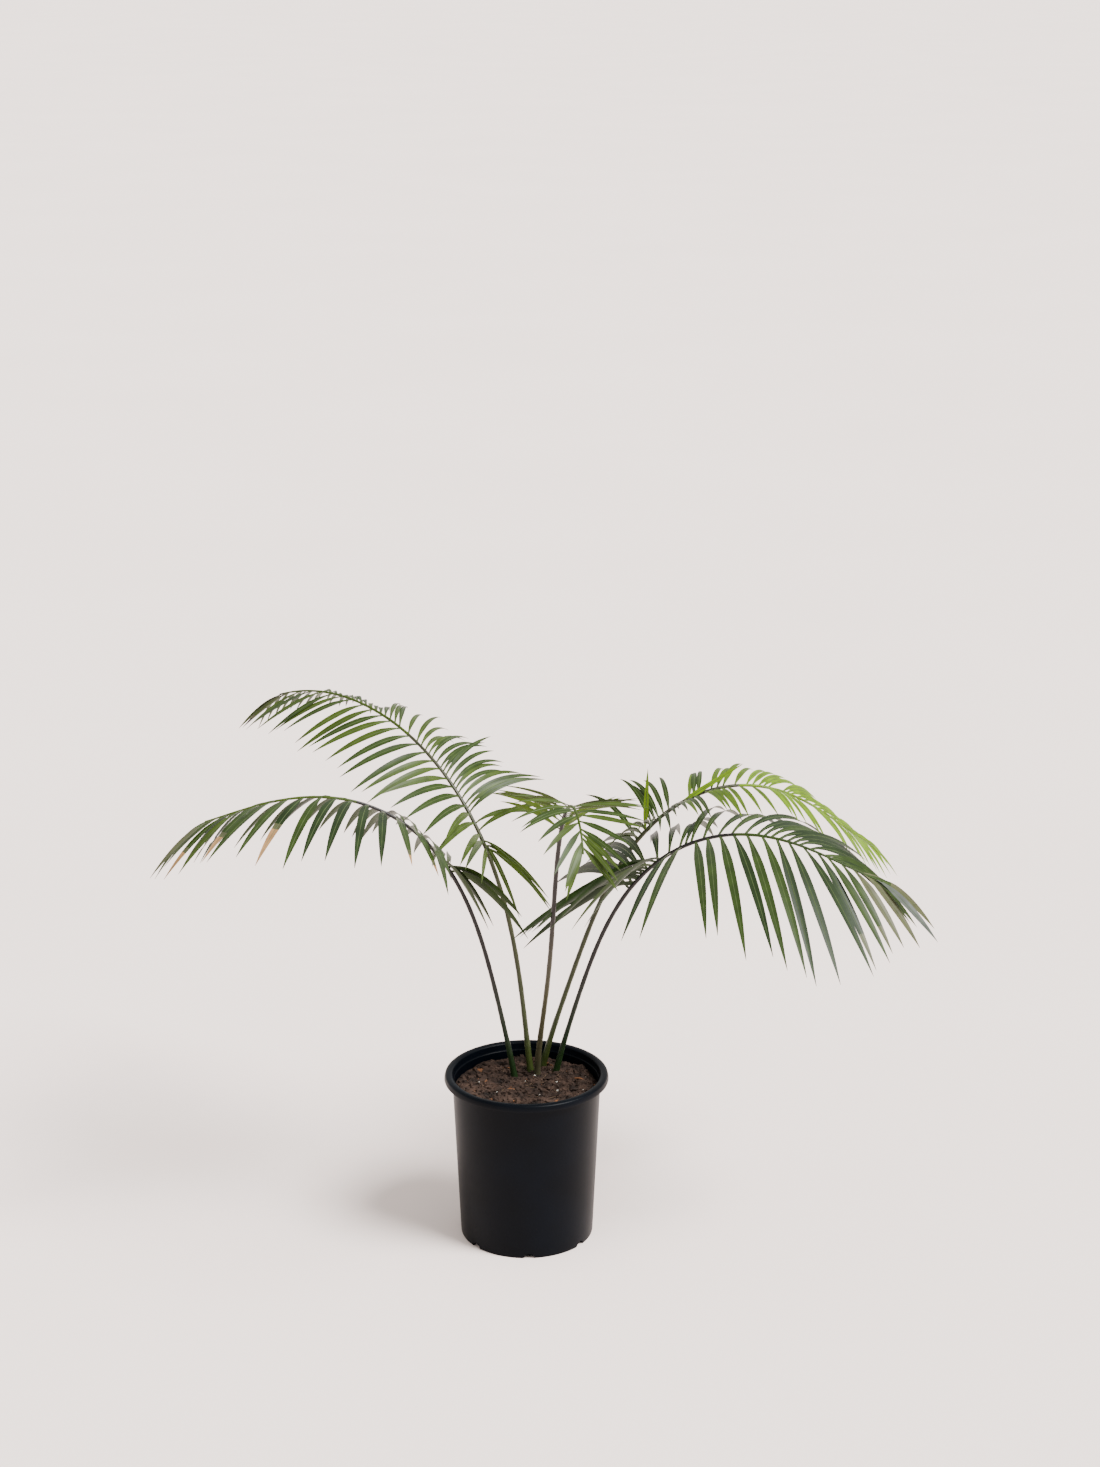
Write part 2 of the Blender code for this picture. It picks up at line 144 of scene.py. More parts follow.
ROOTLET_SEED = 24

# Stalks and midribs. The values down to FOOT_SINK are the solids' own. GROOVE_WIDTH is in
# radians, and the two waves in radians a metre.
STALK_FOOT_RADIUS = 0.0042
STALK_TOP_RADIUS = 0.0027
RIB_TIP_RADIUS = 0.0011
SLIMMED_AT = 0.25
SLIMMED_SHARES = (0.3, 0.7)
SPLIT = 0.46
RIB_STEPS = 240
SLOPE_DEGREE = 4
FOOT_SINK = 0.002
FOOT_DEPTH = 0.010
LIMB_OVERLAP = 0.0005
STALK_ROWS, STALK_SIDES = 120, 20
RIB_ROWS, RIB_SIDES = 80, 12
GROOVE_DEPTH, GROOVE_WIDTH = 0.16, 0.35
RIDGE_COUNT, RIDGE_DEPTH = 6, 0.03
SWELLING, SWELLING_WAVE = 0.03, 160
KNOBBLE, KNOBBLE_WAVE = 0.02, 410
FLARE, FLARE_HEIGHT = 0.12, 0.012

# The leaflets' rule, as in the solids.
KNOTS = (0.0, 0.25, 0.6, 1.0)
CURL_STEPS = 20
NUDGES = ((0, 1.0), (9, 1.0), (-9, 1.0), (18, 1.0), (-18, 1.0), (0, 0.72), (14, 0.72), (-14, 0.72), (0, 0.5))
LENGTH_JITTER = 0.05
ANGLE_JITTER = 3.0
DROOP_JITTER = 0.10
STATION_JITTER = 0.08
LEFT_SHIFT, RIGHT_SHIFT = 0.45, 0.70

# How a leaflet is found on its solid: the steps of its line that are measured, and how
# near they have to be.
TESTED_STEPS = (CURL_STEPS // 2, CURL_STEPS * 3 // 4, CURL_STEPS)
NEAR_SOLID = 0.004

# The finer leaflets between the solids' own.
STRAY_PARTS = (0.33, 0.67)
FILLER_PARTS = (0.5,)
STRAY_JITTER = 14.0
STRAY_SLOPE_JITTER = 0.7 * STRAY_JITTER
FILLER_NUMBER = 100
FILLER_SEED = 200
WIDE_GAP = 1.45
FILLER_JITTER = 1.2
FILLER_LENGTH = 0.95
FILLER_LENGTH_JITTER = 0.5 * LENGTH_JITTER

# A leaflet's form. LEAF_THICKNESS and VEIN_HALF_WIDTH are sizes. LEAF_ROWS and VEIN_SIDES
# are counts, LEAF_TAPER is a power, and the others are shares of its length, width or
# thickness.
LEAF_ROWS = 15
LEAF_THICKNESS = 0.0006
LEAF_TIP_THICKNESS = 0.35
LEAF_FOLD = 0.16
LEAF_BASE_LENGTH = 0.3
LEAF_BASE_WIDTH = 0.30
LEAF_WIDEST = 0.35
LEAF_TAPER = 2.1
LEAF_TIP_WIDTH = 0.03
LENS_ACROSS = np.array([-1.0, -0.55, 0.0, 0.55, 1.0, 0.55, 0.0, -0.55])
LENS_RISE = np.array([0.0, 0.35, 0.5, 0.35, 0.0, -0.45, -0.9, -0.45])
VEIN_HALF_WIDTH = 0.0005
VEIN_FLATNESS = 0.6
VEIN_SIDES = 4

# The turn of a leaflet's face: the way it leans, how far, and how soon along it.
LIGHT_SIDE = (0.0, -0.96, 0.28)
TURN_TO_LIGHT = 0.45
TURN_RATE = 2.5

# The dealing of tones, and the fewest rings that a part of a leaflet has.
TONE_SPREAD = 0.35
TONE_SEED = 100
FEWEST_RINGS = 2

# The camera. The focal length and the height are in pixels, and the sensor in millimetres.
CAMERA_PLACE = (0.0293, -3.0930, 1.6054)
CAMERA_PITCH = 72.93
FOCAL_PIXELS = 2700
PHOTO_HEIGHT = 1467
SENSOR = 36.0

# What every finish shares.
NOISE_DETAIL = 4.0
RAMP_STOPS = (0.3, 0.7)
RELIEF_DEPTH = 0.001


class Tone(Enum):
    """Leaf colours, each a finish of its own, dealt out leaflet by leaflet."""

    DEEP = ("deep_green", (0.0085, 0.0190, 0.0030))
    DARK = ("dark_green", (0.0165, 0.0320, 0.0034))
    MID = ("mid_green", (0.0300, 0.0510, 0.0035))
    FRESH = ("fresh_green", (0.0560, 0.1000, 0.0015))
    LIME = ("lime_green", (0.0960, 0.1720, 0.0003))
    DRY = ("dry_tan", (0.2800, 0.1550, 0.0650))
    FADED = ("faded_olive", (0.0600, 0.0620, 0.0280))
    BLEACHED = ("bleached_grey", (0.0600, 0.0680, 0.0580))
    CHARRED = ("blackened_tip", (0.0060, 0.0050, 0.0060))


@dataclass(frozen=True)
class Finish:
    """A finish whose colour wanders between two factors of itself by a fine noise.

    low and high are those factors, scale and bump_scale say how many patches and how
    many bumps fit in a metre, and gloss is the level of the mirror-like share of light.
    """

    name: str
    colour: tuple
    low: float = 0.75
    high: float = 1.25
    scale: float = 100.0
    roughness: float = 0.8
    bump: float = 0.2
    bump_scale: float = 600.0
    gloss: float = 0.3

    def material(self) -> bpy.types.Material:
        """Make the node material, patterned on Object coordinates.

        Returns:
            The material.
        """
        made = bpy.data.materials.new(self.name)
        made.use_nodes = True
        tree = made.node_tree
        shader = tree.nodes["Principled BSDF"]
        shader.inputs["Roughness"].default_value = self.roughness
        shader.inputs["Specular IOR Level"].default_value = self.gloss
        place = tree.nodes.new("ShaderNodeTexCoord")
        place.name = "Texture Coordinate"
        noise = tree.nodes.new("ShaderNodeTexNoise")
        noise.inputs["Scale"].default_value = self.scale
        noise.inputs["Detail"].default_value = NOISE_DETAIL
        ramp = tree.nodes.new("ShaderNodeValToRGB")
        for element, position, factor in zip(ramp.color_ramp.elements, RAMP_STOPS, (self.low, self.high)):
            element.position = position
            element.color = (*(min(1.0, factor * c) for c in self.colour), 1.0)
        grain = tree.nodes.new("ShaderNodeTexNoise")
        grain.inputs["Scale"].default_value = self.bump_scale
        relief = tree.nodes.new("ShaderNodeBump")
        relief.inputs["Strength"].default_value = self.bump
        relief.inputs["Distance"].default_value = RELIEF_DEPTH
        tree.links.new(place.outputs["Object"], noise.inputs["Vector"])
        tree.links.new(place.outputs["Object"], grain.inputs["Vector"])
        tree.links.new(noise.outputs["Fac"], ramp.inputs["Fac"])
        tree.links.new(ramp.outputs["Color"], shader.inputs["Base Color"])
        tree.links.new(grain.outputs["Fac"], relief.inputs["Height"])
        tree.links.new(relief.outputs["Normal"], shader.inputs["Normal"])
        return made


@dataclass(frozen=True)
class LeafFinish(Finish):
    """A leathery leaf surface with faint mottling and a soft waxy gloss."""

    low: float = 0.72
    high: float = 1.22
    scale: float = 60.0
    roughness: float = 0.42
    bump: float = 0.05
    bump_scale: float = 300.0
    gloss: float = 0.15


@dataclass(frozen=True)
class StalkFinish(Finish):
    """A smooth stalk whose colour turns from its foot's to its own between two heights."""

    high: float = 1.2
    scale: float = 90.0
    roughness: float = 0.38
    bump: float = 0.10
    bump_scale: float = 420.0
    gloss: float = 0.25
    foot: tuple = (0.0, 0.0, 0.0)
    turn_low: float = 0.21
    turn_high: float = 0.34

    def material(self) -> bpy.types.Material:
        """Make the node material, with its turn of colour along Object Z.

        Returns:
            The material.
        """
        made = super().material()
        tree = made.node_tree
        shader = tree.nodes["Principled BSDF"]
        split = tree.nodes.new("ShaderNodeSeparateXYZ")
        tree.links.new(tree.nodes["Texture Coordinate"].outputs["Object"], split.inputs[0])
        share = tree.nodes.new("ShaderNodeMapRange")
        share.inputs["From Min"].default_value = self.turn_low
        share.inputs["From Max"].default_value = self.turn_high
        tree.links.new(split.outputs["Z"], share.inputs["Value"])
        mix = tree.nodes.new("ShaderNodeMix")
        mix.data_type = "RGBA"
        mottle = shader.inputs["Base Color"].links[0].from_socket
        sockets = [socket for socket in mix.inputs if socket.type == "RGBA"]
        sockets[0].default_value = (*self.foot, 1.0)
        tree.links.new(share.outputs["Result"], mix.inputs["Factor"])
        tree.links.new(mottle, sockets[1])
        result = next(socket for socket in mix.outputs if socket.type == "RGBA")
        tree.links.new(result, shader.inputs["Base Color"])
        return made


BLACK_PLASTIC = Finish("black_plastic", (0.0004, 0.0011, 0.0024), 0.75, 1.5, 16.0, 0.40, 0.03, 260.0, 0.062)
EARTH = Finish("potting_mix", (0.0160, 0.0093, 0.0066), 0.30, 1.9, 240.0, 0.92, 0.6, 900.0, 0.15)
CRUMB = Finish("mix_crumbs", (0.0225, 0.0128, 0.0088), 0.25, 2.3, 55.0, 0.9, 0.4, 700.0, 0.2)
BARK = Finish("bark_chips", (0.110, 0.042, 0.014), 0.5, 1.5, 120.0, 0.8, 0.3, 500.0)
PERLITE = Finish("perlite", (0.480, 0.460, 0.400), 0.9, 1.1, 300.0, 0.85, 0.2, 900.0)
ROOTLET = Finish("rootlets", (0.085, 0.052, 0.030), 0.7, 1.3, 200.0)
PALE_FLOOR = Finish("pale_floor", (0.885, 0.755, 0.700), 0.985, 1.015, 1.2, 0.95, 0.0, 10.0)
VEIN = LeafFinish("leaf_vein", (0.050, 0.072, 0.022))


def add_piece(name: str, verts: np.ndarray, faces: list, made: bpy.types.Material,
              slot: str, smooth: float = 60.0) -> bpy.types.Object:
    """Make a mesh piece of the object, riding on its one body.

    Args:
        name: The piece's name.
        verts: Its points, one a row.
        faces: Its faces, as tuples of point numbers.
        made: Its material.
        slot: The name of a material slot in the record; not used.
        smooth: Edges sharper than this, in degrees, stay sharp.

    Returns:
        The new object.
    """
    mesh = bpy.data.meshes.new(name)
    mesh.from_pydata(np.asarray(verts).tolist(), [], faces)
    shape = bmesh.new()
    shape.from_mesh(mesh)
    bmesh.ops.recalc_face_normals(shape, faces=shape.faces)
    shape.to_mesh(mesh)
    shape.free()
    mesh.shade_smooth()
    mesh.set_sharp_from_angle(angle=math.radians(smooth))
    mesh.materials.append(made)
    piece = bpy.data.objects.new(name, mesh)
    bpy.context.scene.collection.objects.link(piece)
    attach(piece, "root")
    LOG.info("%s: %d faces", name, len(faces))
    return piece


@dataclass
class Sweep:
    """Collects closed rings swept along lines, to be joined as one mesh."""

    verts: list = field(default_factory=list)
    faces: list = field(default_factory=list)
    count: int = 0

    def add(self, rings: np.ndarray) -> None:
        """Add one swept form, capped at both ends.

        Args:
            rings: An array of rows by points round the ring by 3.
        """
        rows, around, _ = rings.shape
        i, j = np.meshgrid(np.arange(rows - 1), np.arange(around), indexing="ij")
        after = (j + 1) % around
        quads = np.stack([i * around + j, i * around + after, (i + 1) * around + after,
                          (i + 1) * around + j], -1).reshape(-1, 4) + self.count
        self.faces += quads.tolist()
        self.faces.append(list(range(self.count + around - 1, self.count - 1, -1)))
        last = self.count + (rows - 1) * around
        self.faces.append(list(range(last, last + around)))
        self.verts.append(rings.reshape(-1, 3))
        self.count += rows * around

    def piece(self, name: str, made: bpy.types.Material, slot: str) -> bpy.types.Object:
        """Join what was added as one piece."""
        return add_piece(name, np.concatenate(self.verts), self.faces, made, slot)


class Midrib(NamedTuple):
    """Arc lengths along a frond, and its points, forward, left and upper face directions."""

    arc: np.ndarray
    points: np.ndarray
    along: np.ndarray
    left: np.ndarray
    face: np.ndarray


class Blade(NamedTuple):
    """A leaflet's centre points, width directions and face directions."""

    line: np.ndarray
    across: np.ndarray
    up: np.ndarray


class Leaflet(NamedTuple):
    """A leaflet's side, number, share of the frond's blade and form.

    used holds its lift, spread, droop and length, for a leaflet of the solids' own.
    """

    side: int
    number: int
    share: float
    blade: Blade
    used: np.ndarray | None = None


@dataclass(frozen=True)
class SideRule:
    """Leaflets on one side of a midrib: lift, spread and droop, as in the solids."""

    lift: tuple[float, ...]
    spread: tuple[float, ...]
    droop: float


def sample(arc: np.ndarray, rows: np.ndarray, at: float | np.ndarray) -> np.ndarray:
    """Return rows, known at each arc length, at one or more other arc lengths."""
    return np.stack([np.interp(at, arc, rows[:, i]) for i in range(3)], -1)


def direction(turn: float, slope: float) -> tuple[float, float, float]:
    """Return the direction at a turn and a slope, both in radians."""
    level = math.cos(slope)
    return level * math.cos(turn), level * math.sin(turn), math.sin(slope)


@dataclass
class Frond:
    """One frond: a bare stalk, a midrib, and two ranks of narrow leaflets.

    The sizes and the seeded rule are the solids' own. tones gives the leaflet colours
    from the base to the tip. spoilt gives, for single leaflets by side and number, the
    tone they have dried or bleached to and the share past which they have. filling is
    the chance, on the left and right, of a finer leaflet between two of the solids' own,
    and slim the factor on each side's leaflet width that their number allows. young is
    the tone of its strays, where they have one of their own.
    """

    name: str
    foot: tuple
    heading: float
    swing: float
    slopes: tuple
    stalk: float
    blade: float
    pairs: int
    crowd: float
    lengths: tuple
    width: float
    limp: float
    roll: float
    left: SideRule
    right: SideRule
    seed: int
    strays: dict
    tones: tuple
    stalk_finish: StalkFinish
    slots: tuple
    filling: tuple
    slim: tuple
    spoilt: dict = field(default_factory=dict)
    young: Tone | None = None

    def midrib(self) -> Midrib:
        """Work out the midrib.

        Returns:
            The midrib, from the stalk's foot to the frond's tip.
        """
        length = self.stalk + self.blade
        arc = np.linspace(0, length, RIB_STEPS)
        named_at = [0.0] + [self.stalk + self.blade * i / 3 for i in range(4)]
        slope = np.radians(np.polyval(np.polyfit(named_at, self.slopes, SLOPE_DEGREE), arc))
        turn = np.radians(self.heading + self.swing * (arc / length) ** 2)
        along = np.stack([np.cos(slope) * np.cos(turn), np.cos(slope) * np.sin(turn), np.sin(slope)], 1)
        left = np.stack([-np.sin(turn), np.cos(turn), np.zeros_like(turn)], 1)
        face = np.cross(along, left)
        tilt = np.radians(self.roll) * np.clip(arc / self.stalk, 0, 1)[:, None] ** 2
        left, face = (left * np.cos(tilt) + face * np.sin(tilt), face * np.cos(tilt) - left * np.sin(tilt))
        steps = 0.5 * (along[1:] + along[:-1]) * (length / (RIB_STEPS - 1))
        points = np.concatenate([np.zeros((1, 3)), np.cumsum(steps, 0)])
        points += (self.foot[0], self.foot[1], SOIL_HEIGHT - FOOT_SINK)
        return Midrib(arc, points, along, left, face)

    def radius(self, at: np.ndarray) -> np.ndarray:
        """Work out the radius of the stalk or midrib.

        Args:
            at: Arc lengths.

        Returns:
            The radius at each.
        """
        places = (0.0, SLIMMED_AT * self.stalk, self.stalk, self.stalk + self.blade)
        slimmed = SLIMMED_SHARES[0] * STALK_FOOT_RADIUS + SLIMMED_SHARES[1] * STALK_TOP_RADIUS
        return np.interp(at, places, (STALK_FOOT_RADIUS, slimmed, STALK_TOP_RADIUS, RIB_TIP_RADIUS))

    def tube(self, rib: Midrib, first: float, last: float, rows: int, around: int) -> np.ndarray:
        """Sweep the limb: a circle, flattened and grooved above, with faint long ridges.

        Args:
            rib: The midrib.
            first: The arc length where the tube starts, below zero for the sunk foot.
            last: The arc length where it ends.
            rows: How many rings it has.
            around: How many points each ring has.

        Returns:
            The rings.
        """
        arc, points, along, left, face = rib
        at = np.linspace(first, last, rows)
        middle = sample(arc, points, at) + np.minimum(at, 0)[:, None] * along[0]
        beside, out = sample(arc, left, at), sample(arc, face, at)
        turn = np.linspace(0, math.tau, around, endpoint=False)
        groove = GROOVE_DEPTH * np.exp(-((turn - math.pi / 2) / GROOVE_WIDTH) ** 2)
        ridges = 1 + RIDGE_DEPTH * np.cos(RIDGE_COUNT * turn) - groove
        swell = (1 + SWELLING * np.sin(at * SWELLING_WAVE + self.seed)
                 + KNOBBLE * np.sin(at * KNOBBLE_WAVE))
        flare = 1 + FLARE * np.exp(-np.maximum(at, 0) / FLARE_HEIGHT)
        size = (self.radius(at) * swell * flare)[:, None] * ridges[None, :]
        return (middle[:, None] + size[..., None] * np.cos(turn)[None, :, None] * beside[:, None]
                + size[..., None] * np.sin(turn)[None, :, None] * out[:, None])

    def curl(self, rib: Midrib, side: int, at: float, lift: float, spread: float, droop: float,
             length: float, way: tuple | None) -> Blade:
        """Bend one leaflet's centre line under its own weight.

        Args:
            rib: The midrib.
            side: 1 on the left, -1 on the right.
            at: The arc length of its root.
            lift: Its rise out of the blade's plane, in radians.
            spread: Its angle to the midrib, in radians.
            droop: How hard its weight bends it.
            length: Its length.
            way: The direction it leaves in, or None for the angles' own.

        Returns:
            Its form.
        """
        arc, points, along, left, face = rib
        root, forward, beside, out = (sample(arc, rows, at) for rows in (points, along, left, face))
        beside = beside * side
        rise = math.cos(lift) * beside + math.sin(lift) * out
        start = math.cos(spread) * forward + math.sin(spread) * rise if way is None else np.array(way)
        fine = np.linspace(0, 1, CURL_STEPS + 1)
        way_on = start[None, :] - np.outer(droop * fine**self.limp, (0.0, 0.0, 1.0))
        way_on /= np.linalg.norm(way_on, axis=1)[:, None]
        steps = 0.5 * (way_on[1:] + way_on[:-1]) * (length / CURL_STEPS)
        line = root + np.concatenate([np.zeros((1, 3)), np.cumsum(steps, 0)])
        across = np.cross(math.cos(lift) * out - math.sin(lift) * beside, way_on[0])
        widths = []
        for step in way_on:
            across = across - step * np.dot(across, step)
            across = across / np.linalg.norm(across)
            widths.append(across)
        widths = self.turned_to_light(way_on, np.array(widths))
        return Blade(line, widths, np.cross(way_on, widths))

    def turned_to_light(self, way_on: np.ndarray, widths: np.ndarray) -> np.ndarray:
        """Twist a leaflet about its own line, so that its face leans to the light.

        Args:
            way_on: Its directions from root to tip.
            widths: Its width directions.

        Returns:
            The twisted width directions.
        """
        open_way = np.cross(way_on, LIGHT_SIDE)
        open_way *= np.where((open_way * widths).sum(1) < 0, -1.0, 1.0)[:, None]
        grown = np.clip(np.linspace(0, TURN_RATE, len(way_on)), 0, 1)[:, None]
        twisted = widths + TURN_TO_LIGHT * grown * open_way
        twisted -= way_on * (twisted * way_on).sum(1)[:, None]
        return twisted / np.linalg.norm(twisted, axis=1)[:, None]

    def stations(self, side: int, chance: np.random.Generator) -> np.ndarray:
        """Space one side's leaflets along the blade.

        Args:
            side: 1 on the left, -1 on the right.
            chance: The source of the wobble.

        Returns:
            The share of the blade at which each one stands.
        """
        shift = LEFT_SHIFT if side > 0 else RIGHT_SHIFT
        wobble = STATION_JITTER * chance.standard_normal(self.pairs)
        return np.clip((np.arange(self.pairs) + shift + wobble) / self.pairs, 0, 1) ** self.crowd

    def solid(self, part: str) -> BVHTree:
        """Index one half of the solid blade, to measure distances to it.

        Args:
            part: inner or outer.

        Returns:
            The search tree.
        """
        mesh = frame["nodes"][f"frond_{self.name}_{part}"].data
        places = np.empty(3 * len(mesh.vertices), np.float32)
        mesh.vertices.foreach_get("co", places)
        return BVHTree.FromPolygons(places.reshape(-1, 3).tolist(), [p.vertices[:] for p in mesh.polygons])

    def leaflets(self, rib: Midrib) -> list[Leaflet]:
        """Set every leaflet as the solids have it, and the finer ones between.

        Each one is bent aside or shortened by the nudge whose curve lies on the solid
        frond, and one that lies on no solid is left out.

        Args:
            rib: The midrib.

        Returns:
            The leaflets.
        """
        chance = np.random.default_rng(self.seed)
        bend = self.stalk + SPLIT * self.blade
        inner, outer = self.solid("inner"), self.solid("outer")
        grown = []
        for side, rule in ((1, self.left), (-1, self.right)):
            for number, share in enumerate(self.stations(side, chance)):
                wobble = chance.standard_normal(4)
                lift = np.interp(share, KNOTS, rule.lift) + ANGLE_JITTER * wobble[0]
                spread = np.interp(share, KNOTS, rule.spread) + ANGLE_JITTER * wobble[1]
                droop = rule.droop * (1 + DROOP_JITTER * wobble[2])
                length = np.interp(share, KNOTS, self.lengths) * (1 + LENGTH_JITTER * wobble[3])
                way = None
                if (side, number) in self.strays:
                    turn, slope, factor, droop = self.strays[(side, number)]
                    way = direction(math.radians(turn), math.radians(slope))
                    length *= factor
                at = self.stalk + self.blade * share
                tree = inner if at < bend else outer
                best, found = NEAR_SOLID, None
                for nudge, shorten in NUDGES:
                    blade = self.curl(rib, side, at, math.radians(lift + nudge), math.radians(spread),
                                      droop, length * shorten, way)
                    off = max(tree.find_nearest(blade.line[step])[3] for step in TESTED_STEPS)
                    if off < best:
                        used = np.array((lift + nudge, spread, droop, length * shorten))
                        best, found = off, Leaflet(side, number, share, blade, used)
                if found is not None:
                    grown.append(found)
        return grown + self.fillers(rib, grown)

    def fillers(self, rib: Midrib, grown: list[Leaflet]) -> list[Leaflet]:
        """Carry the rule on to finer spacing, with leaflets between neighbours of its own.

        Each takes the mean of its neighbours' lift, spread, droop and length. A gap much
        wider than the usual one is filled, and others by chance. Between two strays there
        are always two, and between a stray and another leaflet none.

        Args:
            rib: The midrib.
            grown: The leaflets the rule has set.

        Returns:
            More leaflets, numbered on from FILLER_NUMBER.
        """
        chance = np.random.default_rng(FILLER_SEED + self.seed)
        more = []
        for side, filling in ((1, self.filling[0]), (-1, self.filling[1])):
            own = [leaf for leaf in grown if leaf.side == side]
            pairs = list(zip(own[:-1], own[1:]))
            usual = float(np.median([after.share - before.share for before, after in pairs]))
            for number, (before, after) in enumerate(pairs):
                wobble = chance.standard_normal(3)
                kept = chance.random() < filling or after.share - before.share > WIDE_GAP * usual
                ends = [self.strays.get((side, leaf.number)) for leaf in (before, after)]
                strayed = ends[0] is not None and ends[1] is not None
                if not strayed and (ends[0] is not None or ends[1] is not None or not kept):
                    continue
                for part in (STRAY_PARTS if strayed else FILLER_PARTS):
                    share = (1 - part) * before.share + part * after.share
                    lift, spread, droop, length = (1 - part) * before.used + part * after.used
                    lift += FILLER_JITTER * wobble[0]
                    spread += FILLER_JITTER * wobble[1]
                    length *= FILLER_LENGTH + FILLER_LENGTH_JITTER * wobble[2]
                    way = None
                    if strayed:
                        turn, slope = ((1 - part) * ends[0][i] + part * ends[1][i] for i in (0, 1))
                        turn = math.radians(turn + STRAY_JITTER * chance.standard_normal())
                        slope = math.radians(slope + STRAY_SLOPE_JITTER * chance.standard_normal())
                        way = direction(turn, slope)
                    blade = self.curl(rib, side, self.stalk + self.blade * share, math.radians(lift),
                                      math.radians(spread), droop, length, way)
                    more.append(Leaflet(side, FILLER_NUMBER + number, share, blade))
        return more

    def blade_rings(self, blade: Blade, slim: float) -> tuple[np.ndarray, np.ndarray]:
        """Loft one leaflet: a thin lens, folded a little along its raised midrib.

        Args:
            blade: Its form.
            slim: The factor on its width.

        Returns:
            The blade's rings and the rings of the pale ridge along it.
        """
        fine = np.linspace(0, 1, CURL_STEPS + 1)
        share = np.linspace(0, 1, LEAF_ROWS)
        middle, sideways, upward = (sample(fine, part, share) for part in blade)
        grown = np.clip(share / LEAF_BASE_LENGTH, 0, 1)
        base = LEAF_BASE_WIDTH + (1 - LEAF_BASE_WIDTH) * grown * grown * (3 - 2 * grown)
        narrowed = np.clip((share - LEAF_WIDEST) / (1 - LEAF_WIDEST), 0, 1)
        taper = np.clip(1 - narrowed**LEAF_TAPER, LEAF_TIP_WIDTH, 1)
        half = 0.5 * self.width * slim * base * taper
        thick = LEAF_THICKNESS * (LEAF_TIP_THICKNESS + (1 - LEAF_TIP_THICKNESS) * taper)
        raised = half[:, None] * LEAF_FOLD * np.abs(LENS_ACROSS) + thick[:, None] * LENS_RISE
        rings = (middle[:, None] + (half[:, None] * LENS_ACROSS)[..., None] * sideways[:, None]
                 + raised[..., None] * upward[:, None])
        turn = np.linspace(0, math.tau, VEIN_SIDES, endpoint=False)
        ridge = VEIN_HALF_WIDTH * taper
        high = middle + upward * (0.5 * thick)[:, None]
        veins = (high[:, None] + (ridge[:, None] * np.cos(turn))[..., None] * sideways[:, None]
                 + (VEIN_FLATNESS * ridge[:, None] * np.sin(turn))[..., None] * upward[:, None])
        return rings, veins

    def tone(self, leaf: Leaflet, chance: np.random.Generator) -> Tone:
        """Choose a leaflet's colour by its place along the blade, with some chance.

        Args:
            leaf: The leaflet.
            chance: The source of the spread between neighbours.

        Returns:
            The tone.
        """
        place = leaf.share * len(self.tones) + TONE_SPREAD * chance.standard_normal()
        picked = self.tones[int(np.clip(place, 0, len(self.tones) - 1))]
        return self.young if self.young and (leaf.side, leaf.number) in self.strays else picked

    def build(self, finishes: dict[Tone | str, bpy.types.Material]) -> None:
        """Make the stalk, the midrib, and the leaflets joined by colour.

        Args:
            finishes: The leaf material of each tone, and that of the veins.
        """
        rib = self.midrib()
        stalk = Sweep()
        stalk.add(self.tube(rib, -FOOT_DEPTH, self.stalk, STALK_ROWS, STALK_SIDES))
        piece = stalk.piece(f"stalk_{self.name}", self.stalk_finish.material(), self.slots[0])
        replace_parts(piece, f"petiole_{self.name}")
        bend, tip = self.stalk + SPLIT * self.blade, self.stalk + self.blade
        for part, first, last, made in (
                ("inner", self.stalk - LIMB_OVERLAP, bend, piece.data.materials[0]),
                ("outer", bend - LIMB_OVERLAP, tip, finishes[self.tones[-1]])):
            limb = Sweep()
            limb.add(self.tube(rib, first, last, RIB_ROWS, RIB_SIDES))
            limb.piece(f"midrib_{self.name}_{part}", made, self.slots[0])
        chance = np.random.default_rng(TONE_SEED + self.seed)
        sweeps = {tone: Sweep() for tone in Tone}
        veins = Sweep()
        for leaf in self.leaflets(rib):
            rings, ridge = self.blade_rings(leaf.blade, self.slim[0 if leaf.side > 0 else 1])
            tone = self.tone(leaf, chance)
            spoilt, turned = self.spoilt.get((leaf.side, leaf.number), (tone, 1.0))
            last = len(rings) - 1
            cut = int(round(turned * last))
            if cut < FEWEST_RINGS:
                sweeps[spoilt].add(rings)
            elif cut > last - FEWEST_RINGS:
                sweeps[tone].add(rings)
            else:
                sweeps[tone].add(rings[:cut + 1])
                sweeps[Tone.FADED].add(rings[cut:cut + 2])
                sweeps[spoilt].add(rings[cut + 1:])
            veins.add(ridge)
        first = None
        for tone, sweep in sweeps.items():
            if sweep.count:
                made = sweep.piece(f"leaflets_{self.name}_{tone.value[0]}", finishes[tone], self.slots[1])
                first = first or made
        veins.piece(f"leaflet_veins_{self.name}", finishes["vein"], self.slots[1])
        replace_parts(first, f"frond_{self.name}_inner", f"frond_{self.name}_outer")
        LOG.info("frond %s is complete", self.name)


def rounded(corner: tuple[float, float], steps: tuple) -> list[tuple[float, float]]:
    """Return the outline points that lie at steps in radius and height from a corner."""
    return [(corner[0] + r, corner[1] + z) for r, z in steps]


